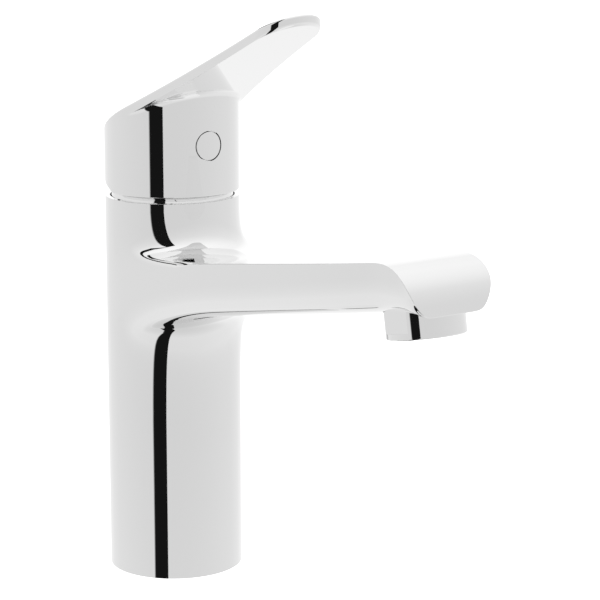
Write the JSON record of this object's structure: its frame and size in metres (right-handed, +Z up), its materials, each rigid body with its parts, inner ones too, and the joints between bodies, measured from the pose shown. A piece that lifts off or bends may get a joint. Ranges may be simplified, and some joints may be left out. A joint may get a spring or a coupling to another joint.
{
  "type": "bathroom mixer faucet",
  "caption": "Single-lever basin mixer tap: round chromed column, rising flat-topped spout with an outlet aerator, and a lever handle on top that turns and lifts.",
  "frame": {"origin": "on the column's axis, at the deck that the foot stands on", "axes": "+Z up along the column, -Y towards the spout's tip, +X to the cold side (the user's right)"},
  "size_m": [0.0462, 0.1738, 0.1966],
  "materials": {
    "chrome": "polished",
    "brass": "satin",
    "copper": "satin",
    "steel": "satin",
    "rubber": "matte",
    "white_plastic": "satin",
    "grey_plastic": "satin",
    "ceramic": "gloss"
  },
  "bodies": {
    "body": {"faucet_body": "chrome", "base_seal": "rubber", "inlet_block": "brass", "hot_riser": "copper", "cold_riser": "copper", "manifold": "brass", "manifold_seal_lower": "rubber", "manifold_seal_upper": "rubber", "seat_seal_hot": "rubber", "seat_seal_cold": "rubber", "seat_seal_outlet": "rubber", "cartridge_base": "white_plastic", "disc_gasket": "rubber", "fixed_disc": "ceramic", "cartridge_housing": "white_plastic", "limit_ring": "grey_plastic", "cartridge_nut": "brass", "cover_ring": "chrome", "aerator_housing": "chrome", "aerator_washer": "rubber", "aerator_insert": "white_plastic", "aerator_screen": "steel"},
    "rotor": {"rotor": "grey_plastic", "stem_pin": "steel"},
    "lever": {"stem": "steel", "handle": "chrome", "set_screw": "steel", "index_plug": "chrome"},
    "valve": {"moving_disc": "ceramic", "disc_carrier": "grey_plastic"}
  },
  "joints": [
    {"name": "swivel", "type": "hinge", "parent": "body", "child": "rotor", "pos_m": [0, 0, 0.122], "axis": [0, 0, 1], "range_deg": [-45, 45]},
    {"name": "lift", "type": "hinge", "parent": "rotor", "child": "lever", "pos_m": [0, 0, 0.122], "axis": [-1, 0, 0], "range_deg": [0, 20]},
    {"name": "disc_slide", "type": "slide", "parent": "rotor", "child": "valve", "axis": [0, -1, 0], "range_m": [0, 0.0035]}
  ],
  "couplings": [
    {"joint": "disc_slide", "follows": "lift", "m_per_rad": 0.0098}
  ]
}
